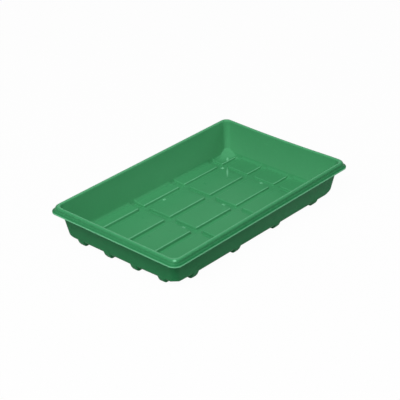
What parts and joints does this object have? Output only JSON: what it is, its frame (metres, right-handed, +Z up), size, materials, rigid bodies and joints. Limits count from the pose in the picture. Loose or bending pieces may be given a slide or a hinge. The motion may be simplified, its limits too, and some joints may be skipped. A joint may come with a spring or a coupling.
{
  "type": "seed tray",
  "caption": "Shallow rectangular seed tray in thin green plastic, with sloping walls, a turned-down lip, and a floor of raised panels between drained channels that stand out below as feet.",
  "frame": {"origin": "middle of the footprint, on the surface that the tray stands on", "axes": "+X along the long side, +Y along the short side, +Z up out of the open top"},
  "size_m": [0.38, 0.24, 0.057],
  "materials": {
    "green_plastic": "semi-gloss moulded"
  },
  "bodies": {
    "root": {"tray": "green_plastic"}
  },
  "joints": []
}
